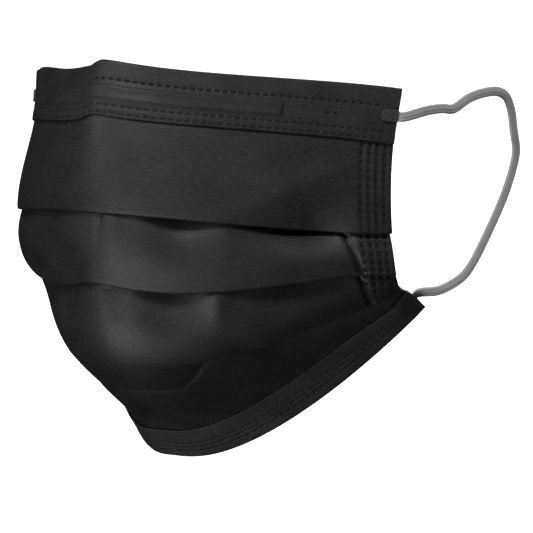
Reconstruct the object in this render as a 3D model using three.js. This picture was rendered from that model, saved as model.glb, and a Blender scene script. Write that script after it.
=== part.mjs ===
import * as THREE from 'three';

// A pleated surgical mask in its worn, opened form. Lengths are in millimetres.
// The origin is the seat on the nose bridge: +Z up, -Y away from the face, +X to the wearer's left.

// Worn form
const HALF_WIDTH = 65;      // centre plane to a side edge
const DEPTH = 64;           // nose bridge back to the lower rear corner
const HEIGHT = 118;         // top edge at the nose to the edge under the chin
const NOSE_ROUND = 0.1;     // rounding of the centre ridge, share of a row's half length

// Cloth and the space between its layers
const CLOTH = 1.0;
const PLEAT_GAP = 0.3;
const SEAM_GAP = 0.3;
const PLEAT_DEPTH = 10;     // how far the cloth of a pleat runs back up behind its fold
const GAPE = 2.6;           // most that a panel stands back under the fold above it
const VALLEY = 1.2;         // depth of the crease where the lowest pleat has come open

// Hems: a strip folded over each edge, its front leaf as deep as named and its back leaf a step less
const HEM_CLOTH = 1.0;
const TOP_HEM = 16;
const BOTTOM_HEM = 12;
const HEM_STEP = 2;

// Nose wire, in the pocket between the top hem's front leaf and the pleated cloth
const WIRE_LENGTH = 108;
const WIRE_WIDTH = 3;
const WIRE_THICKNESS = 0.8;
const WIRE_DROP = 9.3;      // top edge to the wire's middle
const POCKET_SLOPE = 1.4;   // run of the pocket's sloping sides

// Ear loops and the pads where their ends are welded on
const BAND = 2.5;
const PAD_LENGTH = 5;
const PAD_THICKNESS = 0.6;
const UPPER_PAD = { drop: 8.1, width: 3.2 };    // drop below the top edge
const LOWER_PAD = { rise: 5.3, width: 4.5, gap: 0.42 };     // rise above the lowest edge
const LOOP_CLEAR = 1.1;     // end of a loop to the weld's end face
const LOOP_LEAD = 2.1;      // straight run of a loop off its weld

// Each row is one line across the cloth from the centre plane to the side edge, a cubic curve with
// its two handles. X is a share of HALF_WIDTH, Y of DEPTH and Z of HEIGHT.
const ROWS = [
  { row: 'top edge', mid: [0, -0.052, 0.080], fore: [0.26, 0.10, 0.042],
    aft: [0.69, 0.56, 0.034], side: [0.997, 0.797, 0.004] },
  { row: 'top hem', mid: [0, -0.133, -0.056], fore: [0.32, 0.01, -0.071],
    aft: [0.72, 0.47, -0.095], side: [0.982, 0.753, -0.123] },
  { row: 'fold 1', mid: [0, -0.172, -0.280], fore: [0.40, -0.02, -0.291],
    aft: [0.82, 0.36, -0.331], side: [1.017, 0.688, -0.339] },
  { row: 'fold 2', mid: [0, -0.148, -0.453], fore: [0.40, 0.05, -0.513],
    aft: [0.83, 0.39, -0.419], side: [1.031, 0.703, -0.443] },
  { row: 'fold 3', mid: [0, -0.070, -0.641], fore: [0.38, 0.12, -0.695],
    aft: [0.72, 0.55, -0.551], side: [1.005, 0.789, -0.500] },
  { row: 'crease', mid: [0, 0.065, -0.724], fore: [0.34, 0.23, -0.748],
    aft: [0.68, 0.62, -0.581], side: [1.002, 0.813, -0.508] },
  { row: 'bottom hem', mid: [0, 0.310, -0.818], fore: [0.30, 0.40, -0.847],
    aft: [0.65, 0.73, -0.652], side: [0.998, 0.844, -0.517] },
  { row: 'bottom edge', mid: [0, 0.475, -0.911], fore: [0.27, 0.53, -0.919],
    aft: [0.65, 0.83, -0.744], side: [0.994, 1.000, -0.535] },
];
const CREASE = ROWS.findIndex(({ row }) => row === 'crease');
const BOTTOM = ROWS.length - 1;

// How the worn mask departs from even halves, one line for each row. The right half is narrower by
// a share of itself, and its side edge turns in by a share more. The side corners are lifted and the
// right half is pinched down beside the nose, both by shares of HEIGHT.
const WORN = [
  { narrow: -0.010, turn: 0.03, lift: 0, pinch: 0.012 },
  { narrow: -0.010, turn: 0.03, lift: 0, pinch: 0.009 },
  { narrow: 0.012, turn: 0.04, lift: 0, pinch: 0 },
  { narrow: 0.035, turn: 0.04, lift: 0, pinch: 0 },
  { narrow: 0.105, turn: 0, lift: 0.016, pinch: 0 },
  { narrow: 0.170, turn: 0, lift: 0.022, pinch: 0 },
  { narrow: 0.220, turn: 0, lift: 0.028, pinch: 0 },
  { narrow: 0.220, turn: 0, lift: 0, pinch: 0 },
];
const TURN_FROM = 0.8;                          // share across from which the right edge turns in
const LIFT_FROM = 0.95;                         // share across from which a side corner lifts
const PINCH = { full: 0.07, none: 0.9 };        // shares across where the pinch is deepest and gone

// Each pleat hangs from its fold row. Its tuck is a share of PLEAT_DEPTH at the centre and at the
// side. A gape is a hollow under the fold: where and how far to each side as shares across, how deep
// as a share of GAPE, and how far down the panel as a share of it.
const PLEATS = [
  { fold: 2, tuckMid: 0.9, tuckSide: 1.0, gapes: [
    { at: 0.30, reach: 0.13, open: 1.0, down: 0.7 },
    { at: 0.68, reach: 0.22, open: 0.7, down: 0.7 },
  ] },
  { fold: 3, tuckMid: 0.9, tuckSide: 1.0, gapes: [
    { at: 0.26, reach: 0.12, open: 0.8, down: 0.7 },
    { at: 0.68, reach: 0.24, open: 1.0, down: 0.7 },
    { at: -0.62, reach: 0.38, open: 1.3, down: 1.1 },
  ] },
  { fold: 4, tuckMid: 0.3, tuckSide: 0.8, gapes: [
    { at: 0.62, reach: 0.26, open: 1.0, down: 0.7 },
    { at: -0.62, reach: 0.26, open: 0.6, down: 0.7 },
  ] },
];
const OPENED = { full: 0.20, none: 0.38 };      // where the lowest pleat has come open
const TUCK_SIDE_FROM = 0.9;                     // where the tucks have reached their side depth
const GAPE_EASE = 1.7;                          // power by which a gape eases out down its panel
const GAPE_KEPT = 0.4;                          // what is left of a gape at the top of the tuck

// Route of the left ear loop, from its upper weld round the back to its lower weld
const LOOP_ROUTE = [
  [68.6, 59, -6.1], [69.4, 65.5, -6.0], [70.0, 70, -6.4], [70.8, 78, -3.7], [71.6, 85.5, -2.6],
  [72.1, 91.5, -2.8], [72.4, 95.5, -4.5], [72.6, 98, -8.5], [72.6, 99.5, -14.5], [72.6, 101, -20.5],
  [72.2, 100, -25.5], [71.6, 96, -33.6], [70.6, 88.5, -44], [69.4, 82, -52.5], [68.6, 78.5, -56],
  [67.6, 73, -58.3], [66.4, 67.5, -59.4],
];
// The right loop hangs lower at its rear, and it follows the narrower right edge from top to bottom
const RIGHT_LOOP = { droop: 6, topNarrow: 0.06, bottomNarrow: 0.20 };

// Fineness of the faceted solids
const COLUMNS = 34;
const ROW_SAMPLES = 48;
const LOOP_STEPS = 56;
const LOOP_SIDES = 8;

const PITCH = CLOTH + PLEAT_GAP;
const BODY_INSET = HEM_CLOTH + CLOTH / 2 + 2 * SEAM_GAP;     // folded edge of a hem to the cloth in it

const clamp = (value, low = 0, high = 1) => Math.min(high, Math.max(low, value));
const mix = (a, b, share) => a + (b - a) * share;
const smooth = (low, high, value) => {
  const t = clamp((value - low) / (high - low));
  return t * t * (3 - 2 * t);
};
const spread = (from, to, count) => Array.from({ length: count + 1 }, (_, i) => mix(from, to, i / count));

// Points along one row from the centre plane to the side. Y and Z use a share with a rounded start,
// so that the two halves meet in a round ridge.
function sampleRow({ mid, fore, aft, side }) {
  const whole = Math.hypot(1, NOSE_ROUND) - NOSE_ROUND;
  const bezier = (axis, t) => (1 - t) ** 3 * mid[axis] + 3 * (1 - t) ** 2 * t * fore[axis]
    + 3 * (1 - t) * t ** 2 * aft[axis] + t ** 3 * side[axis];
  const points = spread(0, 1, ROW_SAMPLES).map((t) => {
    const rounded = (Math.hypot(t, NOSE_ROUND) - NOSE_ROUND) / whole;
    return new THREE.Vector3(
      HALF_WIDTH * bezier(0, t), DEPTH * bezier(1, rounded), HEIGHT * bezier(2, rounded));
  });
  const lengths = [0];
  points.slice(1).forEach((point, i) => lengths.push(lengths[i] + point.distanceTo(points[i])));
  return { points, lengths };
}
const SAMPLED_ROWS = ROWS.map(sampleRow);
const HALF_CUT = Math.max(...SAMPLED_ROWS.map(({ lengths }) => lengths[ROW_SAMPLES]));

// The point of a row at a share of its length: -1 at the right side edge, 0 at the centre, 1 left
function rowPoint(row, across) {
  const { points, lengths } = SAMPLED_ROWS[row];
  const length = Math.abs(across) * lengths[ROW_SAMPLES];
  const next = clamp(lengths.findIndex((value) => value >= length), 1, ROW_SAMPLES);
  const share = (length - lengths[next - 1]) / (lengths[next] - lengths[next - 1]);
  const point = points[next - 1].clone().lerp(points[next], share);
  const { narrow, turn, lift, pinch } = WORN[row];
  point.z += HEIGHT * lift * smooth(LIFT_FROM, 1, Math.abs(across));
  if (across >= 0) return point;
  const pinched = smooth(0, PINCH.full, -across) * (1 - smooth(PINCH.full, PINCH.none, -across));
  point.z -= HEIGHT * pinch * pinched;
  point.x *= narrow + turn * smooth(TURN_FROM, 1, -across) - 1;
  return point;
}

// One column of the surface: its row points, how far each lies down the cloth, and its slopes there
const columnStore = new Map();
function column(across) {
  if (!columnStore.has(across)) {
    const points = ROWS.map((_, row) => rowPoint(row, across));
    const drops = [0];
    points.slice(1).forEach((point, i) => drops.push(drops[i] + point.distanceTo(points[i])));
    const steps = points.slice(1).map((point, i) =>
      point.clone().sub(points[i]).divideScalar(drops[i + 1] - drops[i]));
    const slopes = points.map((_, i) => {
      if (i === 0) return steps[0].clone();
      if (i === BOTTOM) return steps[BOTTOM - 1].clone();
      const above = drops[i] - drops[i - 1];
      const below = drops[i + 1] - drops[i];
      return steps[i - 1].clone().multiplyScalar(below).addScaledVector(steps[i], above)
        .divideScalar(above + below);
    });
    columnStore.set(across, { points, drops, slopes });
  }
  return columnStore.get(across);
}

// The point at a drop down one column, on the cubic curve through its rows
function onColumn(across, drop) {
  const { points, drops, slopes } = column(across);
  if (drop <= 0) return points[0].clone().addScaledVector(slopes[0], drop);
  if (drop >= drops[BOTTOM]) {
    return points[BOTTOM].clone().addScaledVector(slopes[BOTTOM], drop - drops[BOTTOM]);
  }
  const i = drops.findIndex((value) => value > drop) - 1;
  const span = drops[i + 1] - drops[i];
  const t = (drop - drops[i]) / span;
  return points[i].clone().multiplyScalar((1 + 2 * t) * (1 - t) ** 2)
    .addScaledVector(slopes[i], span * t * (1 - t) ** 2)
    .addScaledVector(points[i + 1], t ** 2 * (3 - 2 * t))
    .addScaledVector(slopes[i + 1], span * t ** 2 * (t - 1));
}

// Directions of the surface: square to it towards the face, and square to the column to the left
const SLOPE_REACH = { across: 0.03, drop: 3 };
function directions(across, drop) {
  const along = onColumn(Math.min(1, across + SLOPE_REACH.across), drop)
    .sub(onColumn(Math.max(-1, across - SLOPE_REACH.across), drop));
  const down = onColumn(across, drop + SLOPE_REACH.drop).sub(onColumn(across, drop - SLOPE_REACH.drop));
  const inward = along.cross(down).normalize();
  return { inward, left: down.cross(inward).normalize() };
}

// A point that lies a depth behind the surface, towards the face
const place = (across, [drop, depth]) =>
  onColumn(across, drop).addScaledVector(directions(across, drop).inward, depth);

const tuckDepth = (pleat, across) => PLEAT_DEPTH
  * mix(pleat.tuckMid, pleat.tuckSide, smooth(OPENED.none, TUCK_SIDE_FROM, Math.abs(across)));

// Depth of the hollows under a fold, at a share of the way down the panel
const gapeDepth = (pleat, across, share = 0) => GAPE * pleat.gapes.reduce((sum, { at, reach, open, down }) =>
  sum + open * smooth(reach, 0, Math.abs(across - at)) * Math.max(0, 1 - share / down) ** GAPE_EASE, 0);

const hemLine = (across) => column(across).drops[BOTTOM] - BOTTOM_HEM;

// Depth of a panel's outer face. Panel 0 lies on the surface. Each later panel comes out from behind
// the fold above it and reaches the surface at its own fold, and stays behind the layers higher up.
function panelDepth(panel, drop, across) {
  if (panel === 0) return 0;
  const pleat = PLEATS[panel - 1];
  const { drops } = column(across);
  const fold = drops[pleat.fold];
  const gape = gapeDepth(pleat, across);
  if (drop < fold) {
    const hidden = clamp((fold - drop) / tuckDepth(pleat, across));
    return panelDepth(panel - 1, drop, across) + 2 * PITCH + gape * mix(1, GAPE_KEPT, hidden);
  }
  const foot = panel < PLEATS.length ? drops[PLEATS[panel].fold] : hemLine(across);
  const share = clamp((drop - fold) / (foot - fold));
  return 2 * PITCH * (1 - share) ** 2 + gapeDepth(pleat, across, share);
}

// Middle of the cloth round one pleat: the turn at its fold, the layer that runs back up, the turn
// at its top, and the hidden head of the next panel
function closedPleat(panel, across) {
  const pleat = PLEATS[panel];
  const fold = column(across).drops[pleat.fold];
  const tuck = tuckDepth(pleat, across);
  const gape = gapeDepth(pleat, across);
  const radius = PITCH / 2;
  const front = (drop) => panelDepth(panel, drop, across) + CLOTH / 2;
  const middle = (drop) => front(drop) + PITCH + GAPE_KEPT * gape * clamp((fold - drop) / tuck);
  const head = (drop) => panelDepth(panel + 1, drop, across) + CLOTH / 2;
  const low = fold - radius;
  const high = fold - tuck + radius;
  return [
    [low, front(low)], [fold, front(low) + radius], [low, middle(low)],
    [mix(low, high, 0.5), middle(mix(low, high, 0.5))],
    [high, middle(high)], [fold - tuck, middle(high) + radius], [high, head(high)],
    [mix(high, fold, 0.5), head(mix(high, fold, 0.5))], [fold, head(fold)],
  ];
}

// The same stretch of cloth where the lowest pleat has come open: it runs on down to the crease
function openedPleat(across) {
  const { drops } = column(across);
  const fold = drops[PLEATS[2].fold];
  const crease = drops[CREASE];
  const radius = PITCH / 2;
  const turn = [fold - radius, fold, fold + radius];
  const valley = [crease - radius, crease, crease + radius, crease + 2 * radius, crease + 3 * radius];
  return [...turn, mix(fold, crease, 0.5), ...valley]
    .map((drop) => [drop, openedDepth(drop, across) + CLOTH / 2]);
}
function openedDepth(drop, across) {
  const { drops } = column(across);
  const fold = drops[PLEATS[2].fold];
  const crease = drops[CREASE];
  const share = drop < crease ? (drop - fold) / (crease - fold)
    : (hemLine(across) - drop) / (hemLine(across) - crease);
  return VALLEY * clamp(share);
}

// Middle of the pleated cloth down one column, from inside the top hem to inside the bottom hem
const PANEL_STEPS = [8, 4, 5, 4];
function bodyPath(across) {
  const { drops } = column(across);
  const radius = PITCH / 2;
  const opened = 1 - smooth(OPENED.full, OPENED.none, Math.abs(across));
  const path = spread(BODY_INSET, drops[PLEATS[0].fold] - radius, PANEL_STEPS[0]).slice(0, -1)
    .map((drop) => [drop, CLOTH / 2]);
  PLEATS.forEach((pleat, i) => {
    const last = i === PLEATS.length - 1;
    const open = openedPleat(across);
    const turns = closedPleat(i, across).map(([drop, depth], k) => (last
      ? [mix(drop, open[k][0], opened), mix(depth, open[k][1], opened)] : [drop, depth]));
    path.push(...turns);
    const start = turns[turns.length - 1][0];
    const end = last ? hemLine(across) : drops[PLEATS[i + 1].fold] - radius;
    const panel = spread(start, end, PANEL_STEPS[i + 1]).slice(1, last ? undefined : -1);
    path.push(...panel.map((drop) => {
      const depth = panelDepth(i + 1, drop, across);
      return [drop, (last ? mix(depth, openedDepth(drop, across), opened) : depth) + CLOTH / 2];
    }));
  });
  const inHem = [BOTTOM_HEM - HEM_STEP, BOTTOM_HEM / 2, BODY_INSET];
  path.push(...inHem.map((step) => [drops[BOTTOM] - step, CLOTH / 2]));
  return path;
}

// Middle of a strip folded round an edge: front leaf, turn and back leaf. sign is 1 at the top edge
// and -1 at the bottom edge, and steps are the distances of each leaf's points from the edge.
const HEM_FRONT = -SEAM_GAP - HEM_CLOTH / 2;
const HEM_BACK = CLOTH + SEAM_GAP + HEM_CLOTH / 2;
function hemPath(edge, sign, frontSteps, backSteps, rise) {
  const radius = (HEM_BACK - HEM_FRONT) / 2;
  const centre = HEM_CLOTH / 2 + radius;
  const turn = [0, 60, 120, 180].map((degrees) => {
    const angle = THREE.MathUtils.degToRad(degrees);
    return [edge + sign * (centre - radius * Math.sin(angle)), HEM_FRONT + radius * (1 - Math.cos(angle))];
  });
  return [
    ...frontSteps.map((step) => [edge + sign * step, HEM_FRONT - rise(step)]),
    ...turn,
    ...backSteps.map((step) => [edge + sign * step, HEM_BACK]),
  ];
}

// The top hem's front leaf is lifted over the nose wire
const WIRE_REACH = WIRE_LENGTH / 2 / HALF_CUT;
const POCKET = WIRE_WIDTH / 2 + SEAM_GAP + HEM_CLOTH / 2;
function topHemPath(across) {
  const lifted = Math.abs(across) < WIRE_REACH + 2 / COLUMNS ? 1 : 0;
  const rise = (step) => lifted * (WIRE_THICKNESS + SEAM_GAP)
    * clamp((POCKET + POCKET_SLOPE - Math.abs(step - WIRE_DROP)) / POCKET_SLOPE);
  const pocket = [POCKET + POCKET_SLOPE, POCKET, -POCKET, -POCKET - POCKET_SLOPE];
  return hemPath(0, 1, [TOP_HEM, ...pocket.map((step) => WIRE_DROP + step)],
    [TOP_HEM / 2, TOP_HEM - HEM_STEP], rise);
}
const bottomHemPath = (across) => hemPath(column(across).drops[BOTTOM], -1,
  [BOTTOM_HEM, BOTTOM_HEM - HEM_STEP, BOTTOM_HEM / 2], [BOTTOM_HEM / 2, BOTTOM_HEM - HEM_STEP], () => 0);

// A path moved sideways by a distance, with mitred corners
function offsetPath(path, distance) {
  const normals = path.slice(1).map(([drop, depth], i) => {
    const run = [drop - path[i][0], depth - path[i][1]];
    const length = Math.hypot(...run);
    return [-run[1] / length, run[0] / length];
  });
  return path.map(([drop, depth], i) => {
    const before = normals[Math.max(0, i - 1)];
    const after = normals[Math.min(normals.length - 1, i)];
    const sum = [before[0] + after[0], before[1] + after[1]];
    const scale = 2 * distance / (sum[0] ** 2 + sum[1] ** 2);
    return [drop + sum[0] * scale, depth + sum[1] * scale];
  });
}

// A closed wall of one thickness, whose middle follows a path down each of the columns
function wallGeometry(pathAt, thickness, columns) {
  const rings = columns.map((across) => {
    const path = pathAt(across);
    const back = offsetPath(path, thickness / 2);
    const front = offsetPath(path, -thickness / 2);
    return [...front, ...back.reverse()].map((point) => place(across, point));
  });
  const count = rings[0].length;
  const faces = [];
  const quad = (a, b, c, d) => faces.push(a, b, c, a, c, d);
  for (let i = 0; i + 1 < rings.length; i += 1) {
    for (let k = 0; k < count; k += 1) {
      const next = (k + 1) % count;
      quad(i * count + k, i * count + next, (i + 1) * count + next, (i + 1) * count + k);
    }
  }
  const end = (rings.length - 1) * count;
  for (let k = 0; k + 1 < count / 2; k += 1) {
    quad(k, count - 1 - k, count - 2 - k, k + 1);
    quad(end + k, end + k + 1, end + count - 2 - k, end + count - 1 - k);
  }
  const geometry = new THREE.BufferGeometry();
  const positions = rings.flat().flatMap((point) => point.toArray());
  geometry.setAttribute('position', new THREE.Float32BufferAttribute(positions, 3));
  geometry.setIndex(faces);
  geometry.computeVertexNormals();
  return geometry;
}

// A flat strip between two drops, at one depth
const flatPath = (from, to, depth) => () => [[from, depth], [mix(from, to, 0.5), depth], [to, depth]];

const cloth = new THREE.MeshStandardMaterial({ color: 0x2a2a2c, roughness: 0.9, metalness: 0 });
const hemCloth = new THREE.MeshStandardMaterial({ color: 0x353537, roughness: 0.85, metalness: 0 });
const wireMetal = new THREE.MeshStandardMaterial({ color: 0xa8aaad, roughness: 0.4, metalness: 0.9 });
const elastic = new THREE.MeshStandardMaterial({ color: 0x55565a, roughness: 0.8, metalness: 0 });

const group = new THREE.Group();
function addPiece(name, geometry, material) {
  const mesh = new THREE.Mesh(geometry, material);
  mesh.name = name;
  group.add(mesh);
}

const allColumns = spread(-1, 1, COLUMNS);
addPiece('pleated_body', wallGeometry(bodyPath, CLOTH, allColumns), cloth);
addPiece('top_hem', wallGeometry(topHemPath, HEM_CLOTH, allColumns), hemCloth);
addPiece('bottom_hem', wallGeometry(bottomHemPath, HEM_CLOTH, allColumns), hemCloth);

// The wire shares the cloth's columns, so that it keeps its gap all along
const wireColumns = [-WIRE_REACH, ...allColumns.filter((across) => Math.abs(across) < WIRE_REACH), WIRE_REACH];
addPiece('nose_wire', wallGeometry(
  flatPath(WIRE_DROP - WIRE_WIDTH / 2, WIRE_DROP + WIRE_WIDTH / 2, -SEAM_GAP - WIRE_THICKNESS / 2),
  WIRE_THICKNESS, wireColumns), wireMetal);

// Welds: the upper pad lies on the outer face of the top hem, the lower one inside the bottom hem
const PAD_ACROSS = 1 - PAD_LENGTH / HALF_CUT;
const UPPER_DEPTH = -2 * SEAM_GAP - HEM_CLOTH - PAD_THICKNESS / 2;
const LOWER_DEPTH = CLOTH + SEAM_GAP + HEM_CLOTH + LOWER_PAD.gap + PAD_THICKNESS / 2;
const lowerDrop = column(1).drops[BOTTOM] - LOWER_PAD.rise;
const LOOP_TOP = Math.max(...LOOP_ROUTE.map(([, , z]) => z));
const LOOP_LOW = Math.min(...LOOP_ROUTE.map(([, , z]) => z));
const LOOP_REAR = Math.max(...LOOP_ROUTE.map(([, y]) => y));
const padPath = (drop, width, depth) => flatPath(drop - width / 2, drop + width / 2, depth);

// The route of one ear loop: straight off its upper weld, round the back, and into its lower weld.
// It leaves a weld halfway between the cloth's own way and +Y.
function loopCurve(sign) {
  const lead = (drop, depth, reach) => {
    const way = directions(sign, drop).left.multiplyScalar(sign).add(new THREE.Vector3(0, 1, 0));
    return place(sign, [drop, depth]).addScaledVector(way.normalize(), reach);
  };
  const start = lead(UPPER_PAD.drop, UPPER_DEPTH, LOOP_CLEAR);
  const end = lead(lowerDrop, LOWER_DEPTH, LOOP_CLEAR);
  const route = LOOP_ROUTE.map(([x, y, z]) => {
    if (sign > 0) return new THREE.Vector3(x, y, z);
    const narrow = mix(RIGHT_LOOP.topNarrow, RIGHT_LOOP.bottomNarrow, (LOOP_TOP - z) / (LOOP_TOP - LOOP_LOW));
    const back = clamp((y - start.y) / (LOOP_REAR - start.y));
    return new THREE.Vector3(-x * (1 - narrow), y, z - RIGHT_LOOP.droop * back);
  });
  return new THREE.CatmullRomCurve3([
    start, lead(UPPER_PAD.drop, UPPER_DEPTH, LOOP_LEAD), ...route,
    lead(lowerDrop, LOWER_DEPTH, LOOP_LEAD), end,
  ], false, 'centripetal');
}

const bandSection = new THREE.Shape(spread(0, 2 * Math.PI, LOOP_SIDES).slice(0, -1)
  .map((angle) => new THREE.Vector2(BAND / 2 * Math.cos(angle), BAND / 2 * Math.sin(angle))));
for (const [side, sign] of [['left', 1], ['right', -1]]) {
  const padColumns = spread(PAD_ACROSS, 1, 1).map((across) => sign * across).sort((a, b) => a - b);
  addPiece(`upper_weld_${side}`, wallGeometry(
    padPath(UPPER_PAD.drop, UPPER_PAD.width, UPPER_DEPTH), PAD_THICKNESS, padColumns), elastic);
  addPiece(`lower_weld_${side}`, wallGeometry(
    padPath(lowerDrop, LOWER_PAD.width, LOWER_DEPTH), PAD_THICKNESS, padColumns), elastic);
  addPiece(`ear_loop_${side}`, new THREE.ExtrudeGeometry(bandSection, {
    steps: LOOP_STEPS, extrudePath: loopCurve(sign), bevelEnabled: false,
  }), elastic);
}

export default group;
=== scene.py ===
"""A pleated surgical mask in its worn, opened form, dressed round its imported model.

Lengths are in metres. The origin is the seat on the nose bridge: +Z up, -Y away from the face and
+X to the wearer's left. Every sheet is worked out on one form, by a share across it and a drop down
it: across is -1 at the right side edge, 0 at the centre plane and 1 at the left side edge, and a
drop is the way down the cloth from its top edge.
"""

import math
from functools import partialmethod

import bpy
import numpy as np
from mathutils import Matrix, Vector


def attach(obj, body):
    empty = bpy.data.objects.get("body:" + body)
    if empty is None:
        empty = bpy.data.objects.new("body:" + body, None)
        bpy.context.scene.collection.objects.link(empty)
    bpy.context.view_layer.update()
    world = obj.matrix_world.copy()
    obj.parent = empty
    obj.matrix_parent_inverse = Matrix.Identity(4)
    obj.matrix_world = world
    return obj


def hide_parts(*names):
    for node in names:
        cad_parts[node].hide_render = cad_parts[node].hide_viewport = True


bl_info = {
    "name": "Pleated surgical mask",
    "version": (1, 0, 0),
    "blender": (4, 5, 0),
    "location": "3D View > Sidebar > Mask",
    "description": "Builds a pleated mask with welded hems, a nose wire and ear loops",
    "category": "Add Mesh",
}

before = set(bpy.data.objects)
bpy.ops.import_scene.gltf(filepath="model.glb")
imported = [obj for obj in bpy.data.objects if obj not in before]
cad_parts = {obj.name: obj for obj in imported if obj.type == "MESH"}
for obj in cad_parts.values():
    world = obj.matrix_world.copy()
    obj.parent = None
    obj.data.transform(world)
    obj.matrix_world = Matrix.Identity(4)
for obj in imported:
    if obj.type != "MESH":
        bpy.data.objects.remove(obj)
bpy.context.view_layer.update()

MM = 0.001


def table(columns, *rows):
    """Rows as dictionaries, each value under the name of its column."""
    return tuple(dict(zip(columns, row)) for row in rows)


# Worn form
HALF_WIDTH = 65 * MM
DEPTH = 64 * MM
HEIGHT = 118 * MM
NOSE_ROUND = 0.1
ROW_SAMPLES = 400

# Each row is one line across the cloth from the centre plane to the side edge, a cubic curve with
# its two handles. X is a share of HALF_WIDTH, Y of DEPTH and Z of HEIGHT. The right half is narrower
# by a share of its own, and its side edge turns in by a share more. A lift raises the row's end at
# the side corner, and a pinch lowers the right half beside the nose, both as shares of HEIGHT.
ROWS = table(
    ("row", "mid", "fore", "aft", "side", "narrow", "turn", "lift", "pinch"),
    ("top edge", (0, -0.052, 0.080), (0.26, 0.10, 0.042), (0.69, 0.56, 0.034),
     (0.997, 0.797, 0.004), -0.01, 0.03, 0, 0.012),
    ("top hem", (0, -0.133, -0.056), (0.32, 0.01, -0.071), (0.72, 0.47, -0.095),
     (0.982, 0.753, -0.123), -0.01, 0.03, 0, 0.009),
    ("fold 1", (0, -0.172, -0.280), (0.40, -0.02, -0.291), (0.82, 0.36, -0.331),
     (1.017, 0.688, -0.339), 0.012, 0.04, 0, 0),
    ("fold 2", (0, -0.148, -0.453), (0.40, 0.05, -0.513), (0.83, 0.39, -0.419),
     (1.031, 0.703, -0.443), 0.030, 0.025, 0, 0),
    ("fold 3", (0, -0.070, -0.641), (0.38, 0.12, -0.695), (0.72, 0.55, -0.551),
     (1.005, 0.789, -0.500), 0.105, 0, 0.016, 0),
    ("crease", (0, 0.065, -0.724), (0.34, 0.23, -0.748), (0.68, 0.62, -0.581),
     (1.002, 0.813, -0.508), 0.17, 0, 0.022, 0),
    ("bottom hem", (0, 0.310, -0.818), (0.29, 0.405, -0.848), (0.63, 0.785, -0.654),
     (0.998, 0.844, -0.517), 0.22, 0, 0.028, 0),
    ("bottom edge", (0, 0.475, -0.911), (0.27, 0.53, -0.919), (0.65, 0.83, -0.744),
     (0.994, 1.000, -0.535), 0.22, 0, 0, 0),
)
FOLD_ROWS = (2, 3, 4)
CREASE = 5
BOTTOM = 7
CORNER = 0.95                       # share across from which the side corner lifts
TURN = 0.8                          # share across of the right half from which its edge turns in
PINCH_FULL, PINCH_NONE = 0.07, 0.9  # shares across of the right half where the pinch is deepest and gone

# Each pleat's tuck is a share of the pleat depth at the centre and at the side. A gape is a hollow
# under the fold: its share across and its reach to each side, how deep as a share of the gape size,
# and how far down the panel it goes as a share of the panel.
PLEATS = (
    {"tuck_mid": 0.9, "tuck_side": 1.0, "gapes": (
        {"at": 0.30, "reach": 0.15, "open": 0.8, "down": 0.75},
        {"at": 0.68, "reach": 0.24, "open": 0.7, "down": 0.75},
    )},
    {"tuck_mid": 0.9, "tuck_side": 1.0, "gapes": (
        {"at": 0.26, "reach": 0.14, "open": 0.7, "down": 0.75},
        {"at": 0.68, "reach": 0.26, "open": 0.9, "down": 0.75},
        {"at": -0.62, "reach": 0.38, "open": 1.3, "down": 1.1},
    )},
    {"tuck_mid": 0.3, "tuck_side": 0.8, "gapes": (
        {"at": 0.62, "reach": 0.26, "open": 1.0, "down": 0.7},
        {"at": -0.62, "reach": 0.26, "open": 0.6, "down": 0.7},
    )},
)
OPENED_FULL, OPENED_NONE = 0.20, 0.38       # shares across where the lowest pleat is open and closed
TUCK_SIDE_FROM = 0.9    # share across where the tucks have reached their side depth
GAPE_KEPT = 0.4         # share of a gape that is left where its pleat turns back
GAPE_EASE = 1.7         # power by which a gape eases out down its panel

# The first panel turns in below a line that runs up to the side, from a share across at its fold to
# another some way above it. It turns in fully by a share of that way, fades out before and past its
# end, and has eased out by a share down the panel below.
FACET = {
    "start": 0.36, "end": 0.80, "rise": 17 * MM, "slope": 0.34, "ease": 4 * MM,
    "full": 0.3, "before": 0.08, "past": 0.10, "below": 0.7,
}

# Where the lowest pleat has come open: how deep its valley is, and how wide and deep the crease in it
VALLEY = 0.4 * MM
GROOVE = {"wide": 0.6 * MM, "deep": 0.35 * MM}

# Route of the left ear loop, from its upper weld round the back to its lower weld
LOOP_ROUTE = tuple(
    tuple(value * MM for value in point)
    for point in (
        (68.6, 59, -6.1), (69.4, 65.5, -6.0), (70.0, 70, -6.4), (70.8, 78, -3.7), (71.6, 85.5, -2.6),
        (72.1, 91.5, -2.8), (72.4, 95.5, -4.5), (72.6, 98, -8.5), (72.6, 99.5, -14.5), (72.6, 101, -20.5),
        (72.2, 100, -25.5), (71.6, 96, -33.6), (70.6, 88.5, -44), (69.4, 82, -52.3), (68.6, 78.5, -55.5),
        (67.6, 73, -57.7), (66.4, 67.5, -58.9),
    )
)
# The right loop hangs lower at its rear, and its X follows the narrower right edge from top to bottom
RIGHT_LOOP = {"droop": 6 * MM, "top_narrow": 0.06, "bottom_narrow": 0.20}

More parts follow.
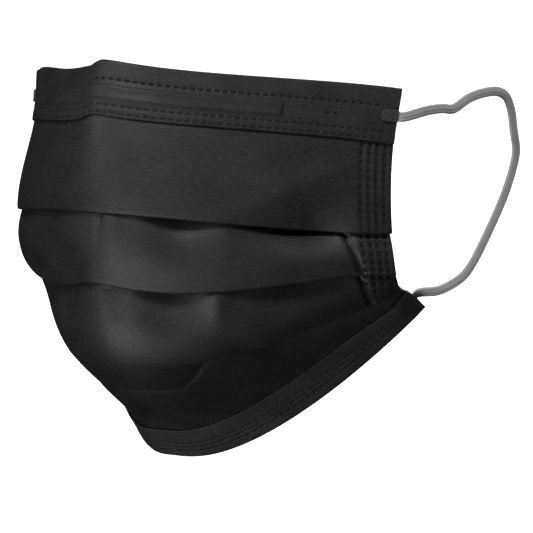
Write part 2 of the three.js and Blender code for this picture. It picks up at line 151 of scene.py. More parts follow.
# Rows of welded dashes: way from the hem's folded edge at the centre, how much that grows to the
# side, from which share across to which, and how hard they are pressed
TOP_WELDS = table(
    ("step", "grow", "start", "end", "press"),
    (5.5, 0.1, -0.02, 0.95, 1.0),
    (5.5, 0.1, -0.97, -0.02, 0.35),
    (9.2, 0.0, 0.755, 0.80, 1.0),
    (13.0, 0.0, -0.97, 0.97, 0.8),
    (15.1, 0.0, -0.97, 0.97, 0.8),
)
BOTTOM_WELDS = table(
    ("step", "grow", "start", "end", "press"),
    (2.9, 1.6, -0.05, 0.96, 1.0),
    (4.6, 1.4, -0.05, 0.93, 0.8),
    (6.2, 1.2, -0.05, 0.93, 0.8),
    (2.9, 1.6, -0.96, -0.05, 0.5),
    (4.6, 1.4, -0.93, -0.05, 0.5),
    (6.2, 1.2, -0.93, -0.05, 0.5),
)

# Creases of the panels. Each runs on a panel from one share across and share down to another, and is
# so wide and so deep in millimetres: a valley if deep is above 0, else a ridge. A share of its depth
# is kept at its lower end.
CREASES = table(
    ("panel", "start", "end", "wide", "deep", "kept"),
    (1, (0.032, -0.15), (0.026, 0.50), 0.9, 0.8, 0),
    (1, (0.075, -0.15), (0.070, 0.90), 3.2, -0.5, 0),
    (1, (-0.18, -0.15), (-0.333, 0.60), 2.2, 0.8, 0),
    (1, (0.840, -0.10), (0.888, 1.00), 0.9, 1.4, 1),
    (2, (-0.112, -0.15), (-0.127, 0.50), 0.9, 0.8, 0),
    (2, (0.41, -0.10), (0.40, 0.75), 3.2, -1.0, 0),
    (2, (0.05, -0.10), (0.07, 0.80), 2.2, 0.5, 0),
    (2, (0.875, -0.10), (0.905, 1.00), 0.9, 1.2, 1),
)

DASH_LENGTH = 1.55 * MM
DASH_WIDTH = 0.6 * MM
DASH_SOFT = 0.16 * MM
HEM_STEPS = {"front": 58, "turn": 9, "back": 13}
HEM_COLUMNS = 601
HEM_DIP = {"share": 0.25, "reach": 1.6 * MM}        # how far a hem dips to its weld rows, and how near
HEM_CLOSE = {"share": 0.5, "reach": 1.5 * MM}       # how far it closes to the cloth at its free edge
WIRE_CLEAR = 0.1 * MM
POCKET_SLOPE = 0.7 * MM
WIRE_GRID = (241, 7)                    # points along the wire and across it

# Dots welded into the side strips
DOT_COLUMNS = (2.1, 4.5, 6.9, 9.3)      # way from the side edge in millimetres
DOT_SIZE = 1.45 * MM
DOT_ACROSS = (0.65 * DOT_SIZE, 0.35 * DOT_SIZE)     # way from a dot's middle where it ends and is full
DOT_DOWN = (0.6 * DOT_SIZE, 0.3 * DOT_SIZE)
DOT_CLEAR = {"top": 0.5 * MM, "foot": 0.8 * MM}     # cloth left free of dots at both ends of a panel
SIDE_STRIP = 11.5 * MM                  # width at a side edge over which columns lie close together
CLOTH_COLUMNS = {"strip": 28, "middle": 190}

# Pads where the ends of a loop are welded on
PAD_LENGTH = 4.6 * MM
UPPER_PAD = {"drop": 8.1 * MM, "width": 3.4 * MM}
LOWER_PAD = {"rise": 5.3 * MM, "width": 4.5 * MM}
PAD_THICKNESS = 0.3 * MM
PAD_GRID = (61, 47)                     # points along a pad and across it
LATTICE = 1.15 * MM                     # distance between the bars of a weld's lattice
BAR_EDGE = (0.75, 0.95)                 # height of the cosine where a bar begins and is full
BAR_RISE = 0.25 * MM
WELD_GAP = 0.05 * MM

LOOP_STEPS = 401
SPAN_STEPS = 24             # points on the curve between two points of the route
CORD_STEP = 4               # every so many points of a loop's line are taken as the cord's path
LOOP_LEAD = 1.8 * MM        # straight run of a loop off its weld
LOOP_LAP = 0.5 * MM         # how far a loop's end lies over its weld
BAND_TURN = 14 * MM         # way over which a loop turns from the hem's face onto its edge
BAND_SWELL = 2.5 * MM       # way over which a loop thickens from its weld
BAND_LEAN = -0.25           # how far the band's face turns to the front, as a slope
BAND_SIDES = 24
BAND_SQUARE = 0.55          # power of the band's section: 1 is an ellipse, less is squarer
PAINTED_LIGHT_LENGTH = 130           # millimetres along a band to its lower end, over which its painted light grows
BAND_PAINTED_LIGHT = 0.35            # share of white mixed into a band's colour at its lower end, as painted light

UV_UNIT = 0.2       # length of cloth that one unit of a UV map covers


def number_property(name, description, default, **kind):
    return bpy.props.FloatProperty(name=name, description=description, default=default, **kind)


def length_property(name, description, default):
    return number_property(name, description, default, unit="LENGTH", precision=5)


def angle_property(name, description, degrees):
    return number_property(name, description, math.radians(degrees), subtype="ANGLE")


def colour_property(name, description, default):
    return bpy.props.FloatVectorProperty(
        name=name, description=description, default=default, subtype="COLOR", size=3, min=0, max=1
    )


class MaskSizes(bpy.types.PropertyGroup):
    """Sizes of the cloth, hems, wire and loops"""

    cloth: length_property("Cloth", "Thickness of the pleated cloth", 0.5 * MM)
    layer_gap: length_property("Layer gap", "Space between two layers of a pleat", 0.25 * MM)
    tuck: length_property("Pleat depth", "How far a pleat runs back up behind its fold", 10 * MM)
    gape: length_property("Gape", "Most that a panel stands back under the fold above it", 4.0 * MM)
    hem_cloth: length_property("Hem cloth", "Thickness of the hem strips", 0.36 * MM)
    seam: length_property("Seam gap", "Space between a hem and the cloth in it", 0.15 * MM)
    top_hem: length_property("Top hem", "Depth of the top hem's front leaf", 16 * MM)
    bottom_hem: length_property("Bottom hem", "Depth of the bottom hem's front leaf", 12 * MM)
    hem_step: length_property("Hem step", "How much shorter a hem's back leaf is", 2 * MM)
    weld_press: length_property("Weld press", "Depth of the welded dashes and dots", 0.3 * MM)
    weld_pitch: length_property("Weld pitch", "Distance from dash to dash along a weld row", 2.4 * MM)
    wire_length: length_property("Wire length", "Length of the nose wire", 108 * MM)
    wire_width: length_property("Wire width", "Width of the nose wire", 3 * MM)
    wire_thickness: length_property("Wire thickness", "Thickness of the nose wire", 0.6 * MM)
    wire_drop: length_property("Wire drop", "Top edge to the wire's middle", 9.3 * MM)
    band_width: length_property("Band width", "Width of the ear loop's band", 2.8 * MM)
    band_thickness: length_property("Band thickness", "Thickness of the ear loop's band", 1.3 * MM)


class MaskColours(bpy.types.PropertyGroup):
    """Colours of the mask and its stage"""

    cloth: colour_property("Cloth", "Colour of the pleated cloth", (0.020, 0.020, 0.0205))
    hem: colour_property("Hem", "Colour of the hem strips", (0.026, 0.026, 0.0265))
    # Painted light: the same cloth as the top hem, made lighter where the lower hem turns to the light
    lower_hem_painted_light: colour_property("Lower hem", "Colour of the lower hem strip", (0.044, 0.044, 0.0445))
    elastic: colour_property("Elastic", "Colour of the ear loops", (0.42, 0.42, 0.425))
    weld: colour_property("Weld", "Colour of the elastic where it is welded down", (0.035, 0.035, 0.036))
    metal: colour_property("Metal", "Colour of the nose wire", (0.55, 0.56, 0.58))
    floor: colour_property("Floor", "Colour of the floor and the backdrop", (0.9, 0.9, 0.9))


class MaskStage(bpy.types.PropertyGroup):
    """Camera and lights"""

    azimuth: angle_property("Azimuth", "Angle of the camera round the mask", 34)
    elevation: angle_property("Elevation", "Angle of the camera above the mask", 6.8)
    distance: length_property("Distance", "Camera to its aim", 1.3)
    lens: number_property("Lens", "Focal length in millimetres", 309.9)
    key: number_property("Key light", "Power of the front light in watts", 8.5)
    side: number_property("Side light", "Power of the light at the right in watts", 1.8)
    low: number_property("Low light", "Power of the low front light in watts", 5)
    rear: number_property("Rear light", "Power of the rear light in watts", 22)
    fill: number_property("Fill", "Strength of the even light all round", 0.008)


SENSOR = 36                                         # width of the camera's sensor in millimetres
AIM = Vector((36.3 * MM, 24.5 * MM, -49.6 * MM))    # what the camera and the lights point at
LIGHTS = table(
    ("name", "size", "place"),
    ("key", 0.3, (0.20, -0.60, 0.84)),
    ("side", 0.3, (-0.35, -0.80, 0.35)),
    ("low", 0.5, (0.10, -0.90, -0.55)),
    ("rear", 0.8, (0.4, 1.3, 0.6)),
)

# The floor goes forward and to both sides by its reach, then bends up into a wall at the back
SWEEP = {"floor": -0.115, "reach": 6.0, "back": 3.0, "bend": 0.8, "rise": 5.0, "steps": 13}

PRESSED = "pressed"     # name of the attribute that says how hard the cloth is welded
WELD_SHADE = 0.1        # colour of welded cloth as a share of the cloth's own

# How far the cloth's colour goes from light to dark, and its gloss
CLOTH_LOOK = {"streaks": 0.6, "gloss": 0.42}
HEM_LOOK = {"streaks": 0.5, "gloss": 0.22}

# Fibres, patches and specks of the cloth: their size across and down in millimetres, how fine and
# how rough they are, and their weight in its tone
CLOTH_NOISES = table(
    ("across", "down", "detail", "rough", "weight"),
    (2.2, 0.45, 3.0, 0.65, 0.45),
    (14, 9, 2.0, 0.5, 0.3),
    (0.6, 0.5, 1.0, 0.5, 0.25),
)
CONTRAST = 3.2          # how much the tone is stretched

RIB_PITCH, LOOP_PITCH = 0.55, 0.5       # of the elastic's ribs and of the small loops along them


def smooth(low, high, value):
    """0 at low, 1 at high: three times the clamped share squared less twice its cube."""
    share = np.clip((value - low) / (high - low), 0, 1)
    return share * share * (3 - 2 * share)


def mix(start, end, share):
    """The start plus the share of the way from it to the end."""
    return start + (end - start) * share


def cubic(handles, share):
    """Points of cubic curves: each handle weighted by its power of the share and of what is left of it."""
    rest = 1 - share
    weights = np.stack([rest**3, 3 * rest**2 * share, 3 * rest * share**2, share**3])
    return np.einsum("rhc,hs->rsc", handles, weights)


def sample_rows():
    """Points along every row and their way from the centre plane. The Y and Z curves run with a
    share that starts like a parabola, so that both halves meet in a round ridge."""
    handles = np.array([[row[key] for key in ("mid", "fore", "aft", "side")] for row in ROWS], dtype=float)
    handles *= (HALF_WIDTH, DEPTH, HEIGHT)
    share = np.linspace(0, 1, ROW_SAMPLES + 1)
    whole = math.hypot(1, NOSE_ROUND) - NOSE_ROUND
    rounded = (np.hypot(share, NOSE_ROUND) - NOSE_ROUND) / whole
    points = cubic(handles, rounded)
    points[..., 0] = cubic(handles, share)[..., 0]
    steps = np.linalg.norm(np.diff(points, axis=1), axis=2)
    lengths = np.concatenate([np.zeros((len(ROWS), 1)), np.cumsum(steps, axis=1)], axis=1)
    return points, lengths


def points_along(points, way, places):
    """Points at places along a line, from its own points and their way from its start."""
    return np.stack([np.interp(places, way, points[:, axis]) for axis in range(3)], axis=1)


ROW_POINTS, ROW_LENGTHS = sample_rows()
HALF_CUT = float(ROW_LENGTHS[:, -1].max())


class Columns:
    """Columns of the form at given shares across: where they cross the rows, how far each crossing
    lies down the cloth, and the slope there, which is the mean of the chords above and below with
    the shorter one counting more."""

    def __init__(self, across):
        self.across = across
        self.points = np.array([
            points_along(points, lengths, np.abs(across) * lengths[-1])
            for points, lengths in zip(ROW_POINTS, ROW_LENGTHS)
        ])
        narrow, turn, lift, pinch = (
            np.array([row[key] for row in ROWS])[:, None] for key in ("narrow", "turn", "lift", "pinch")
        )
        right = np.maximum(-across, 0)
        narrowed = np.where(across < 0, narrow + turn * smooth(TURN, 1, right), 0)
        self.points[..., 0] *= np.sign(across) * (1 - narrowed)
        pinched = smooth(0, PINCH_FULL, right) * (1 - smooth(PINCH_FULL, PINCH_NONE, right))
        self.points[..., 2] += HEIGHT * (lift * smooth(CORNER, 1, np.abs(across)) - pinch * pinched)
        chords = np.diff(self.points, axis=0)
        spans = np.linalg.norm(chords, axis=2)
        self.drops = np.concatenate([np.zeros((1, len(across))), np.cumsum(spans, axis=0)])
        steps = chords / spans[..., None]
        above, below = spans[:-1, :, None], spans[1:, :, None]
        middle = (steps[:-1] * below + steps[1:] * above) / (above + below)
        self.slopes = np.concatenate([steps[:1], middle, steps[-1:]])

    def at(self, drop):
        """Points at drops down the columns, on the cubic curve through the crossings and their
        slopes, and straight on past both ends."""
        held = np.clip(drop, 0, self.drops[-1])
        row = np.clip((held[None] >= self.drops[:, None]).sum(axis=0) - 1, 0, BOTTOM - 1)
        column = np.broadcast_to(np.arange(len(self.across)), row.shape)
        start, end = self.drops[row, column], self.drops[row + 1, column]
        span = (end - start)[..., None]
        share = ((held - start) / (end - start))[..., None]
        curve = (
            self.points[row, column] * (1 + 2 * share) * (1 - share) ** 2
            + self.slopes[row, column] * span * share * (1 - share) ** 2
            + self.points[row + 1, column] * share**2 * (3 - 2 * share)
            + self.slopes[row + 1, column] * span * share**2 * (share - 1)
        )
        past = (drop - held)[..., None]
        return curve + np.where(past < 0, self.slopes[0], self.slopes[-1]) * past


REACH_ACROSS = 0.03
REACH_DOWN = 3 * MM


class Form:
    """The outer face of the worn cloth at given shares across."""

    def __init__(self, across):
        self.across = across
        self.columns = Columns(across)
        self.before = Columns(np.maximum(across - REACH_ACROSS, -1))
        self.after = Columns(np.minimum(across + REACH_ACROSS, 1))
        self.drops = self.columns.drops

    def directions(self, drop):
        """Unit vectors square to the form towards the face, and square to the column to the left,
        from differences over a short reach."""
        along = self.after.at(drop) - self.before.at(drop)
        down = self.columns.at(drop + REACH_DOWN) - self.columns.at(drop - REACH_DOWN)
        inward = np.cross(along, down)
        inward /= np.linalg.norm(inward, axis=-1, keepdims=True)
        left = np.cross(down, inward)
        return inward, left / np.linalg.norm(left, axis=-1, keepdims=True)

    def place(self, drop, depth):
        """Points a depth behind the form, towards the face."""
        inward, _ = self.directions(drop)
        return self.columns.at(drop) + inward * depth[..., None]


def mesh_from_grid(name, points, cut, pressed=None, tube=False):
    """A quad mesh over a grid of points, rows down and columns to the left. Its UV map holds the cut
    positions. On a tube the last row joins the first, the cut has one row more, and both ends are
    closed."""
    rows, columns = points.shape[:2]
    lower = (np.arange(rows) + 1) % rows if tube else np.arange(1, rows)
    index = np.arange(rows * columns).reshape(rows, columns)

    def corners(above, below):
        return np.stack([above[:, :-1], below[:, :-1], below[:, 1:], above[:, 1:]], axis=-1).reshape(-1, 4)

    faces = corners(index[: len(lower)], index[lower]).tolist()
    cut_index = np.arange(cut.shape[0] * columns).reshape(-1, columns)
    cut_corners = corners(cut_index[:-1], cut_index[1:]).ravel()
    if tube:
        faces += [index[:, 0].tolist(), index[::-1, -1].tolist()]
        cut_corners = np.concatenate([cut_corners, index[:, 0], index[::-1, -1]])
    mesh = bpy.data.meshes.new(name)
    mesh.from_pydata(points.reshape(-1, 3), [], faces)
    uv = mesh.uv_layers.new(name="Cut")
    uv.data.foreach_set("uv", (cut.reshape(-1, 2)[cut_corners] / UV_UNIT).astype(np.float32).ravel())
    if pressed is not None:
        attribute = mesh.attributes.new(PRESSED, "FLOAT", "POINT")
        attribute.data.foreach_set("value", pressed.astype(np.float32).ravel())
    mesh.polygons.foreach_set("use_smooth", np.ones(len(mesh.polygons), dtype=bool))
    mesh.update()
    return mesh


def add_piece(name, mesh, material, node):
    """Puts a mesh into the scene as a piece that stands for the named node."""
    piece = bpy.data.objects.new(name, mesh)
    bpy.context.scene.collection.objects.link(piece)
    mesh.materials.append(material)
    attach(piece, "root")
    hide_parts(node)
    return piece


def add_sheet(name, material, slot, node, thickness, across, drop, depth, pressed=0):
    """Adds a piece whose columns follow the paths of drops and depths, with half its thickness to
    each side of them. Gives the piece and its length down the longest column, laid flat."""
    points = Form(across).place(drop, depth)
    steps = np.linalg.norm(np.diff(points, axis=0), axis=2)
    way = np.concatenate([np.zeros((1, len(across))), np.cumsum(steps, axis=0)])
    cut = np.stack([np.broadcast_to(across * HALF_CUT, way.shape), way], axis=-1)
    mesh = mesh_from_grid(name, points, cut, np.broadcast_to(pressed, way.shape))
    piece = add_piece(name, mesh, material, node)
    solidify = piece.modifiers.new("Thickness", "SOLIDIFY")
    solidify.thickness = thickness
    solidify.offset = 0
    return piece, float(way[-1].max())


def strip_down(steps, width, middle, across):
    """Drops of a plain strip: so many steps over its width, round its middle."""
    return np.linspace(-0.5, 0.5, steps)[:, None] * width + middle + 0 * across


def off_beat(way, pitch):
    """Distance from the middle of the step of a pitch that a way falls in."""
    return np.abs(way / pitch % 1 - 0.5) * pitch


HIDDEN = -1     # number of the stretches of cloth that are on no panel


class PleatedCloth:
    """Paths of the pleated cloth down its columns, as drops and depths of the middle of the cloth."""

    STEPS = {"panel": (54, 28, 26, 24), "turn": 6, "back": 4, "head": 5, "in_hem": 3}

    def __init__(self, sizes, across):
        self.sizes = sizes
        self.across = across
        self.drops = Columns(across).drops
        self.pitch = sizes.cloth + sizes.layer_gap
        self.hem_line = self.drops[BOTTOM] - sizes.bottom_hem
        self.opened = 1 - smooth(OPENED_FULL, OPENED_NONE, np.abs(across))

    def foot(self, panel):
        """Drop of a panel's foot, at its own fold or at the bottom hem."""
        return self.drops[FOLD_ROWS[panel]] if panel < len(PLEATS) else self.hem_line

    def tuck(self, pleat):
        """Depth of a pleat, from its centre share to its side share of the full depth."""
        side = smooth(OPENED_NONE, TUCK_SIDE_FROM, np.abs(self.across))
        return self.sizes.tuck * mix(PLEATS[pleat]["tuck_mid"], PLEATS[pleat]["tuck_side"], side)

    def gape(self, pleat):
        """Depth of the hollow right under a fold: a smooth bump for each gape."""
        return self.gape_down(pleat, np.zeros(1))

    def gape_down(self, pleat, share):
        """Depth of the hollow at shares down the panel: each bump eases out like a power of what is
        left of its way down."""
        bumps = [
            gape["open"] * smooth(gape["reach"], 0, np.abs(self.across - gape["at"]))
            * np.maximum(0, 1 - share / gape["down"]) ** GAPE_EASE
            for gape in PLEATS[pleat]["gapes"]
        ]
        return self.sizes.gape * sum(bumps)

    def facet(self, drop):
        """How far the left half of the first panel turns in: its slope times the way past a line
        that rises to the side, with a soft start, and none on the side strip."""
        fold = self.drops[FOLD_ROWS[0]]
        side = (self.across - FACET["start"]) / (FACET["end"] - FACET["start"])
        past = np.maximum(0, drop - (fold - FACET["rise"] * side))
        soft = past**2 / (past + FACET["ease"])
        edge = 1 - smooth(FACET["end"] - FACET["before"], FACET["end"] + FACET["past"], self.across)
        return FACET["slope"] * soft * np.where(side > 0, smooth(0, FACET["full"], side) * edge, 0)

    def panel_depth(self, panel, drop):
        """Depth of a panel's outer face: two layers and the gape behind the fold above it, eased out
        down the panel. Above the fold it stays as far behind the panel in front."""
        if panel == 0:
            return self.facet(np.broadcast_to(drop, np.broadcast_shapes(drop.shape, self.across.shape)))
        fold = self.drops[FOLD_ROWS[panel - 1]]
        gape = self.gape(panel - 1)
        hidden = np.clip((fold - drop) / self.tuck(panel - 1), 0, 1)
        behind = self.panel_depth(panel - 1, drop) + 2 * self.pitch + gape * mix(1, GAPE_KEPT, hidden)
        share = np.clip((drop - fold) / (self.foot(panel) - fold), 0, 1)
        start = 2 * self.pitch + (self.facet(fold[None]) if panel == 1 else 0)
        shown = start * np.maximum(0, 1 - share / FACET["below"]) ** 2 + self.gape_down(panel - 1, share)
        return np.where(drop < fold, behind, shown)

    def closed_pleat(self, pleat):
        """The turn at the fold, the layer that runs back up, the turn at its top and the hidden
        head of the next panel. The turns are half circles."""
        fold, tuck, gape = self.drops[FOLD_ROWS[pleat]], self.tuck(pleat), self.gape(pleat)
        radius = self.pitch / 2
        half_cloth = self.sizes.cloth / 2
        low, high = fold - radius, fold - tuck + radius

        def front(drop):
            return self.panel_depth(pleat, drop) + half_cloth

        def middle(drop):
            return front(drop) + self.pitch + GAPE_KEPT * gape * np.clip((fold - drop) / tuck, 0, 1)

        def head(drop):
            return self.panel_depth(pleat + 1, drop) + half_cloth

        angle = np.linspace(0, math.pi, self.STEPS["turn"] + 1)[:, None]
        out, over = radius * np.sin(angle), (1 - np.cos(angle)) / 2
        turn = (low + out, mix(front(low[None]), middle(low[None]), over))
        up = mix(low, high, np.linspace(0, 1, self.STEPS["back"] + 1)[1:-1, None])
        top = (high - out, mix(middle(high[None]), head(high[None]), over))
        on = mix(high, fold, np.linspace(0, 1, self.STEPS["head"] + 1)[1:, None])
        drop = np.concatenate([turn[0], up, top[0], on])
        depth = np.concatenate([turn[1], middle(up), top[1], head(on)])
        return drop, depth

    def opened_depth(self, drop):
        """Depth of the cloth where the lowest pleat has come open: a shallow valley at the crease,
        with straight sides up to the fold and down to the hem, and a narrow bell along the crease."""
        fold, crease = self.drops[FOLD_ROWS[-1]], self.drops[CREASE]
        above = (drop - fold) / (crease - fold)
        below = (self.hem_line - drop) / (self.hem_line - crease)
        groove = GROOVE["deep"] * np.exp(-(((drop - crease) / GROOVE["wide"]) ** 2))
        return VALLEY * np.clip(np.minimum(above, below), 0, 1) + groove + self.sizes.cloth / 2

    def opened_pleat(self, count):
        """The same stretch of cloth as a closed pleat's, laid open down to just past the crease."""
        fold, crease = self.drops[FOLD_ROWS[-1]], self.drops[CREASE]
        radius = self.pitch / 2
        drop = mix(fold - radius, crease + 3 * radius, np.linspace(0, 1, count)[:, None])
        return drop, self.opened_depth(drop)

    def paths(self):
        """Drops and depths down every column, from inside the top hem to inside the bottom hem."""
        half_cloth = self.sizes.cloth / 2
        inset = self.sizes.hem_cloth + self.sizes.seam * 2 + half_cloth
        radius = self.pitch / 2
        steps = self.STEPS
        share = np.linspace(0, 1, steps["panel"][0] + 1)[:-1, None]
        drop = mix(np.full_like(self.across, inset), self.drops[FOLD_ROWS[0]] - radius, share)
        blocks = [(drop, self.panel_depth(0, drop) + half_cloth)]
        panels = [np.zeros(len(drop))]
        for pleat in range(len(PLEATS)):
            last = pleat == len(PLEATS) - 1
            drop, depth = self.closed_pleat(pleat)
            opened = self.opened if last else 0
            if last:
                open_drop, open_depth = self.opened_pleat(len(drop))
                drop, depth = mix(drop, open_drop, opened), mix(depth, open_depth, opened)
            blocks.append((drop, depth))
            panels.append(np.full(len(drop), HIDDEN))
            foot = self.foot(pleat + 1) - (0 if last else radius)
            share = np.linspace(0, 1, steps["panel"][pleat + 1] + 1)[1 : None if last else -1, None]
            drop = mix(drop[-1], foot, share)
            depth = self.panel_depth(pleat + 1, drop) + half_cloth
            blocks.append((drop, mix(depth, self.opened_depth(drop), opened) if last else depth))
            panels.append(np.full(len(drop), pleat + 1))
        share = np.linspace(0, 1, steps["in_hem"] + 1)[1:, None]
        drop = mix(self.hem_line, self.drops[BOTTOM] - inset, share)
        blocks.append((drop, np.full_like(drop, half_cloth)))
        panels.append(np.full(len(drop), HIDDEN))
        drop, depth = (np.concatenate([block[side] for block in blocks]) for side in (0, 1))
        return drop, depth, np.concatenate(panels)[:, None]

    def creased(self, drop, panel):
        """Depth that the creases add: each a bell over the distance from its line on the cut."""
        along = self.across * HALF_CUT
        depth = np.zeros_like(drop)
        for crease in CREASES:
            on = crease["panel"]
            fold = self.drops[FOLD_ROWS[on - 1]]
            foot = self.foot(on)
            share = (drop - fold) / (foot - fold)
            (start_across, start_share), (end_across, end_share) = crease["start"], crease["end"]
            part = np.clip((share - start_share) / (end_share - start_share), 0, 1)
            off_line = along - mix(start_across, end_across, part) * HALF_CUT
            past_end = (share - np.clip(share, start_share, end_share)) * (foot - fold)
            away = np.hypot(off_line, past_end) / (crease["wide"] * MM)
            taper = 1 - smooth(start_share, end_share, share)
            bell = crease["deep"] * MM * mix(crease["kept"], 1, taper) * np.exp(-(away**2))
            depth += np.where(panel == on, bell, 0)
        return depth

    def dotted(self, drop, panel):
        """How hard the cloth is pressed by the dots of the side strips: square dots in columns along
        the side edge, in rows counted down from the fold or hem above."""
        from_side = (1 - np.abs(self.across)) * HALF_CUT
        in_column = sum(smooth(*DOT_ACROSS, np.abs(from_side - way * MM)) for way in DOT_COLUMNS)
        pressed = np.zeros_like(drop)
        for number in range(len(PLEATS)):
            top, foot = self.foot(number - 1) if number else self.sizes.top_hem, self.foot(number)
            in_row = smooth(*DOT_DOWN, off_beat(drop - top, self.sizes.weld_pitch))
            shown = (drop > top + DOT_CLEAR["top"]) & (drop < foot - DOT_CLEAR["foot"]) & (panel == number)
            pressed = np.where(shown, in_row * in_column, pressed)
        return pressed


def cloth_columns():
    """Shares across for the pleated cloth: close together on the welded side strips."""
    inner = 1 - SIDE_STRIP / HALF_CUT
    strip = np.linspace(inner, 1, CLOTH_COLUMNS["strip"])
    middle = np.linspace(-inner, inner, CLOTH_COLUMNS["middle"])
    return np.concatenate([-strip[:0:-1], middle, strip[1:]])


def dash_rows(welds, step, along, pitch):
    """How hard a hem is pressed by rows of welded dashes: a row is a band round its way from the
    edge, and a dash is as long as its share of the pitch."""
    across = along / HALF_CUT
    pressed = np.zeros(np.broadcast_shapes(step.shape, along.shape))
    for weld in welds:
        dash = smooth(DASH_LENGTH / 2 + DASH_SOFT, DASH_LENGTH / 2 - DASH_SOFT, off_beat(along, pitch))
        row = (weld["step"] + weld["grow"] * np.abs(across)) * MM
        band = smooth(DASH_WIDTH / 2 + DASH_SOFT, DASH_WIDTH / 2 - DASH_SOFT, np.abs(step - row))
        inside = (across > weld["start"]) & (across < weld["end"])
        pressed = np.maximum(pressed, weld["press"] * dash * band * inside)
    return pressed


def seams(welds, step, across, reach):
    """How near the cloth is to a weld row: a smooth bump on each row."""
    rows = [(weld["step"] + weld["grow"] * np.abs(across)) * MM for weld in welds]
    return np.maximum.reduce([smooth(reach, 0, np.abs(step - row)) for row in rows])


def lattice(along, down):
    """Bars of a weld's lattice: ridges of cosines along both diagonals."""
    bars = [np.abs(np.cos(math.pi * (along + sign * down) / LATTICE)) for sign in (1, -1)]
    return smooth(*BAR_EDGE, np.maximum(*bars))


class Hem:
    """A strip folded round an edge of the cloth. Its steps are distances from that edge."""

    def __init__(self, sizes, across, bottom):
        self.sizes = sizes
        self.across = across
        self.along = across * HALF_CUT
        self.sign = -1 if bottom else 1
        self.edge = Columns(across).drops[BOTTOM] if bottom else np.zeros_like(across)
        self.leaf = sizes.bottom_hem if bottom else sizes.top_hem
        self.welds = BOTTOM_WELDS if bottom else TOP_WELDS
        self.face = -sizes.seam - sizes.weld_press - sizes.hem_cloth / 2
        self.back = sizes.cloth + sizes.seam + sizes.hem_cloth / 2
        self.radius = (self.back - self.face) / 2
        self.start = sizes.hem_cloth / 2 + self.radius

    def pocket(self, step):
        """Rise over the nose wire, with sloping sides and ends."""
        if self.sign < 0:
            return 0
        sizes = self.sizes
        rise = sizes.wire_thickness + WIRE_CLEAR - sizes.weld_press
        half = sizes.wire_width / 2 + WIRE_CLEAR
        end = sizes.wire_length / 2 + WIRE_CLEAR
        over = smooth(half + POCKET_SLOPE, half, np.abs(step - sizes.wire_drop))
        return rise * over * smooth(end + POCKET_SLOPE, end, np.abs(self.along))

    def front(self, step):
        """Depth of the front leaf and how hard it is pressed. It dips to its weld rows and lies
        close to the cloth at its free edge."""
        sizes = self.sizes
        pressed = dash_rows(self.welds, step, self.along, sizes.weld_pitch)
        dip = HEM_DIP["share"] * seams(self.welds, step, self.across, HEM_DIP["reach"])
        close = HEM_CLOSE["share"] * smooth(self.leaf - HEM_CLOSE["reach"], self.leaf, step)
        down = np.maximum(np.maximum(dip, close), pressed)
        return self.face + sizes.weld_press * down - self.pocket(step), pressed

    def paths(self):
        """The front leaf from its free edge, a half-circle turn and the back leaf."""
        rows = np.ones_like(self.across)
        front = np.linspace(self.leaf, self.start, HEM_STEPS["front"])[:-1, None] * rows
        angle = np.linspace(0, math.pi, HEM_STEPS["turn"])[:, None]
        back = np.linspace(self.start, self.leaf - self.sizes.hem_step, HEM_STEPS["back"])[1:, None] * rows
        depth, pressed = self.front(front)
        turn = (self.start - self.radius * np.sin(angle)) * rows
        turn_depth = (self.face + self.radius * (1 - np.cos(angle))) * rows
        drop = self.edge + self.sign * np.concatenate([front, turn, back])
        depth = np.concatenate([depth, turn_depth, np.full_like(back, self.back)])
        pressed = np.concatenate([pressed, np.zeros_like(turn), np.zeros_like(back)])
        if self.sign < 0:
            return drop[::-1], depth[::-1], pressed[::-1]
        return drop, depth, pressed


def curve_through(points, steps):
    """Points on a centripetal Catmull-Rom curve. Each span is a cubic with end slopes from its
    neighbours, weighted by the square roots of the distances between them."""
    points = np.asarray(points)
    points = np.concatenate([[2 * points[0] - points[1]], points, [2 * points[-1] - points[-2]]])
    before, start, end, after = points[:-3], points[1:-2], points[2:-1], points[3:]

    def root(a, b):
        return np.sqrt(np.linalg.norm(b - a, axis=1))[:, None]

    first, middle, last = root(before, start), root(start, end), root(end, after)
    start_slope = (start - before) / first - (end - before) / (first + middle) + (end - start) / middle
    end_slope = (end - start) / middle - (after - start) / (middle + last) + (after - end) / last
    share = np.linspace(0, 1, steps, endpoint=False)[None, :, None]
    start, end, start_slope, end_slope = (
        value[:, None] for value in (start, end, start_slope * middle, end_slope * middle)
    )
    curve = (
        start * (1 + 2 * share) * (1 - share) ** 2 + start_slope * share * (1 - share) ** 2
        + end * share**2 * (3 - 2 * share) + end_slope * share**2 * (share - 1)
    )
    return np.concatenate([curve.reshape(-1, 3), points[-2:-1]])


def even_steps(points, count):
    """The same line with its points the same way apart."""
    way = np.concatenate([[0], np.cumsum(np.linalg.norm(np.diff(points, axis=0), axis=1))])
    places = np.linspace(0, way[-1], count)
    return points_along(points, way, places), places


def unit(vectors):
    """The same directions, one long."""
    return vectors / np.linalg.norm(vectors, axis=-1, keepdims=True)


